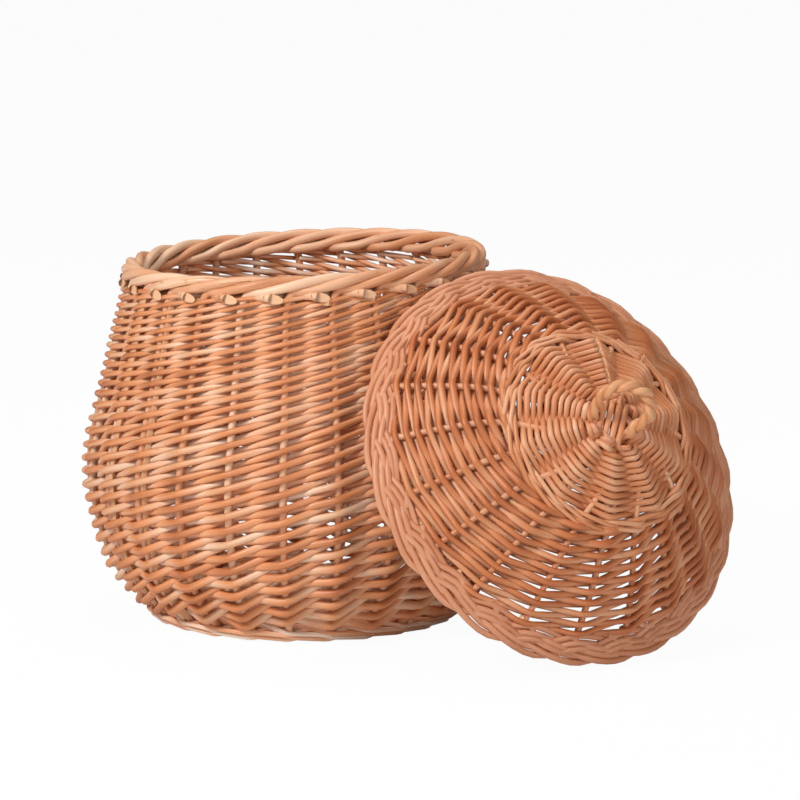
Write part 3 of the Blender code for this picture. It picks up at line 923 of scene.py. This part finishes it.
pile = bmesh.new()
for lane in (-1, 0, 1):
    points = []
    slip = wander(lane + 70, 0.0006)
    for step in range(plait_places * plait_samples + 2):
        turns = step / plait_samples
        angle, across, above = strand_middle(turns)
        ahead = strand_middle(turns + look_ahead)
        around = (ahead[0] - angle) * (lid_rim_radius + plait_centre)
        sideways = ahead[1] - across
        length = math.hypot(around, sideways)
        fade = min(turns, plait_places - turns, 1)
        shift = lane * lane_pitch * plait_rod_size + slip(5 * turns) * fade
        along_shift = -shift * sideways / length / (lid_rim_radius + plait_centre)
        points.append(plait_point(angle + along_shift, across + shift * around / length, above))
    add_rod(pile, points, plait_rod_size, dice_tone(0.5, 0.15))
finish_pile("lid_plait_rods", pile, lid_space, "lid", rope_willow, "lid_plait", "lid_plait")

# %% [markdown]
# Trimmed ends
# The rods of the plait end on its inner side, one at each crossing. They are cut aslant and lie close
# along the border.

# %% Trim the ends inside the plait
stub_size = 0.0017
pile = bmesh.new()
for place in range(plait_places):
    angle = place * plait_step + rods_random.uniform(-0.05, 0.05)
    reach = rods_random.uniform(0.060, 0.095)
    line = []
    for share in (0.0, 0.35, 0.7, 1.0):
        across = -0.0040 - 0.0036 * share
        above = 0.0014 + 0.0010 * math.sin(math.pi * share * 0.7)
        line.append(plait_point(angle - share * reach, across, above))
    slant = ((line[-1] - line[-2]).normalized() + dome_up(angle, lid_rim_radius) * 0.7).normalized()
    thick = stub_size * rods_random.uniform(0.9, 1.1)
    add_rod(pile, smooth_line(line, 3), thick, dice_tone(0.6, 0.15), cut={-1: slant})
finish_pile("lid_trimmed_ends", pile, lid_space, "lid", rope_willow, "lid_plait")

# %% [markdown]
# The ring handle
# A thick rod is twisted until it is as limp as a rope, then looped through the heart on both sides
# of the four upper sticks and wound round itself. Two strands wind round one line here.
# It rides on the body that swings, so it is built in the hinge's own space.

# %% Twist the ring
ring_axis = Vector(hinge["axis"]).normalized()
ring_tilt = math.radians(25)
ring_foot = 0.0128
ring_bow = 0.0150
ring_centre = 0.0085
strand_size = 0.0024
strand_reach = 0.0016
ring_pitch = 0.0180
ring_up = (math.cos(ring_tilt) * lid_turn.col[2] + math.sin(ring_tilt) * lid_turn.col[0]).normalized()
ring_depth = ring_axis.cross(ring_up).normalized()
ring_space = Matrix((
    (ring_axis.x, ring_depth.x, ring_up.x, ring_place.x),
    (ring_axis.y, ring_depth.y, ring_up.y, ring_place.y),
    (ring_axis.z, ring_depth.z, ring_up.z, ring_place.z),
    (0, 0, 0, 1),
))
ring_start = math.asin(ring_foot / ring_bow)
ring_line = [Vector((-ring_foot + 0.0010, 0, -0.0060)), Vector((-ring_foot + 0.0002, 0, -0.0030))]
ring_steps = 24
for step in range(ring_steps + 1):
    share = step / ring_steps
    angle = -(math.pi - ring_start) + share * 2 * (math.pi - ring_start)
    ring_line.append(Vector((ring_bow * math.sin(angle), 0, ring_centre + ring_bow * math.cos(angle))))
ring_line += [Vector((ring_foot - 0.0002, 0, -0.0030)), Vector((ring_foot - 0.0010, 0, -0.0060))]
ring_line = smooth_line(ring_line, 3)
along, across = stations_frame(ring_line)
pile = bmesh.new()
for strand in range(2):
    travelled = 0.0
    points = []
    for i, middle in enumerate(ring_line):
        if i:
            travelled += (ring_line[i] - ring_line[i - 1]).length
        turn = 2 * math.pi * (strand / 2 + travelled / ring_pitch)
        other = along[i].cross(across[i])
        offset = across[i] * math.cos(turn) + other * math.sin(turn)
        points.append(middle + offset * strand_reach)
    add_rod(pile, points, strand_size, dice_tone(0.42, 0.1), sides=10)
finish_pile("ring_rope", pile, ring_space, "ring", ring_willow, "ring_handle", "ring_handle")

# %% [markdown]
# Tucked ends beside the ring
# Two pale rod ends stick up from the heart in front of the ring, each curled over to a small knob.
# They are what is left of the rods that start the weave.

# %% Curl the two ends
knob_places = ((137.4, 0.0145), (179.0, 0.0133))
knob_size = 0.0020
knob_bow = 0.0019
pile = bmesh.new()
for degrees, radius in knob_places:
    angle = math.radians(degrees)
    seat = on_dome(angle, radius, 0.0030)
    up = dome_up(angle, radius)
    aside = Vector((-math.sin(angle), math.cos(angle), 0))
    line = [seat - up * 0.0030 - aside * knob_bow]
    for step in range(6):
        turned = math.pi * (1 - step / 4)
        lift = 0.0004 + knob_bow * math.sin(turned)
        line.append(seat + aside * knob_bow * math.cos(turned) + up * lift)
    add_rod(pile, smooth_line(line, 2), knob_size, dice_tone(0.75, 0.05))
finish_pile("curled_ends", pile, lid_space, "lid", rope_willow, "lid_heart")

# %% [markdown]
# Studio
# The photograph shows the basket on plain white, lit softly from above and the left. A wide pale
# floor and large lamps give soft shade between the rods. The floor is near white to the camera.

# %% Floor and background
def flat_sheet(name, size, height):
    mesh = bpy.data.meshes.new(name)
    work = bmesh.new()
    bmesh.ops.create_grid(work, x_segments=1, y_segments=1, size=size)
    bmesh.ops.translate(work, verts=work.verts, vec=(0, 0, height))
    work.to_mesh(mesh)
    work.free()
    thing = bpy.data.objects.new(name, mesh)
    bpy.context.scene.collection.objects.link(thing)
    return thing


floor = flat_sheet("floor", 6.0, -0.0004)
paper = bpy.data.materials.new("white_floor")
paper.use_nodes = True
tree = paper.node_tree
shader = tree.nodes["Principled BSDF"]
shader.inputs["Base Color"].default_value = (0.86, 0.86, 0.86, 1)
shader.inputs["Roughness"].default_value = 0.9
shader.inputs["Specular IOR Level"].default_value = 0.1
glow = tree.nodes.new("ShaderNodeEmission")
glow.inputs["Strength"].default_value = 1.0
seen = tree.nodes.new("ShaderNodeLightPath")
mixed = tree.nodes.new("ShaderNodeMixShader")
tree.links.new(multiplied(tree, seen.outputs["Is Camera Ray"], 0.96), mixed.inputs["Fac"])
tree.links.new(shader.outputs[0], mixed.inputs[1])
tree.links.new(glow.outputs[0], mixed.inputs[2])
tree.links.new(mixed.outputs[0], tree.nodes["Material Output"].inputs["Surface"])
floor.data.materials.append(paper)

world = bpy.data.worlds.new("studio")
bpy.context.scene.world = world
world.use_nodes = True
sky = world.node_tree.nodes["Background"]
sky.inputs["Color"].default_value = (1, 1, 1, 1)
air = world.node_tree.nodes.new("ShaderNodeLightPath")
level = world.node_tree.nodes.new("ShaderNodeMix")
level.inputs["A"].default_value = 0.16
level.inputs["B"].default_value = 1.0
world.node_tree.links.new(air.outputs["Is Camera Ray"], level.inputs["Factor"])
world.node_tree.links.new(level.outputs["Result"], sky.inputs["Strength"])
print("floor and background")

# %% [markdown]
# Lamps
# Three wide round lamps light the basket: the key from the left, a weak fill from the right and one
# from above. Small lamps would throw hard black lines between the rods.

# %% Lamps
def lamp(name, place, aim, size, power):
    light = bpy.data.lights.new(name, "AREA")
    light.shape = "DISK"
    light.size = size
    light.energy = power
    thing = bpy.data.objects.new(name, light)
    bpy.context.scene.collection.objects.link(thing)
    thing.location = place
    thing.rotation_euler = (Vector(aim) - Vector(place)).to_track_quat("-Z", "Y").to_euler()


lamp("key", (-1.3, -1.3, 1.5), (0, 0, 0.1), 0.8, 42.0)
lamp("fill", (1.2, -1.9, 0.9), (0.05, 0, 0.1), 1.2, 13.0)
lamp("top", (0.1, 0.3, 1.9), (0, 0, 0.1), 1.0, 13.0)
print("three lamps")

# %% [markdown]
# Camera
# The camera looks down by ten degrees from the photographer's place. One pixel covers a known width
# at the basket, and the place of the basket's axis in the picture is known, so the aim and the lens
# follow from those values.

# %% Camera
look_height = 0.105
look_distance = 2.8
look_down = math.radians(10.0)
frame_size = 800
metres_per_pixel = 0.0006
basket_pixel = (304.2, 438.4)
target = basket_axis + Vector((0, 0, look_height))
forward = Vector((0, math.cos(look_down), -math.sin(look_down)))
upward = Vector((0, math.sin(look_down), math.cos(look_down)))
aside = (frame_size / 2 - basket_pixel[0]) * metres_per_pixel
above = (basket_pixel[1] - frame_size / 2) * metres_per_pixel
aim = target + Vector((aside, 0, 0)) + upward * above
camera_data = bpy.data.cameras.new("camera")
camera_data.sensor_width = 36.0
camera_data.lens = look_distance / metres_per_pixel / frame_size * camera_data.sensor_width
camera = bpy.data.objects.new("camera", camera_data)
bpy.context.scene.collection.objects.link(camera)
camera.location = target - forward * look_distance
camera.rotation_euler = (aim - camera.location).to_track_quat("-Z", "Y").to_euler()
camera_data.clip_start = 0.1
camera_data.clip_end = 50.0
bpy.context.scene.camera = camera
bpy.context.scene.view_settings.view_transform = "Standard"
print("lens", round(camera_data.lens, 1))
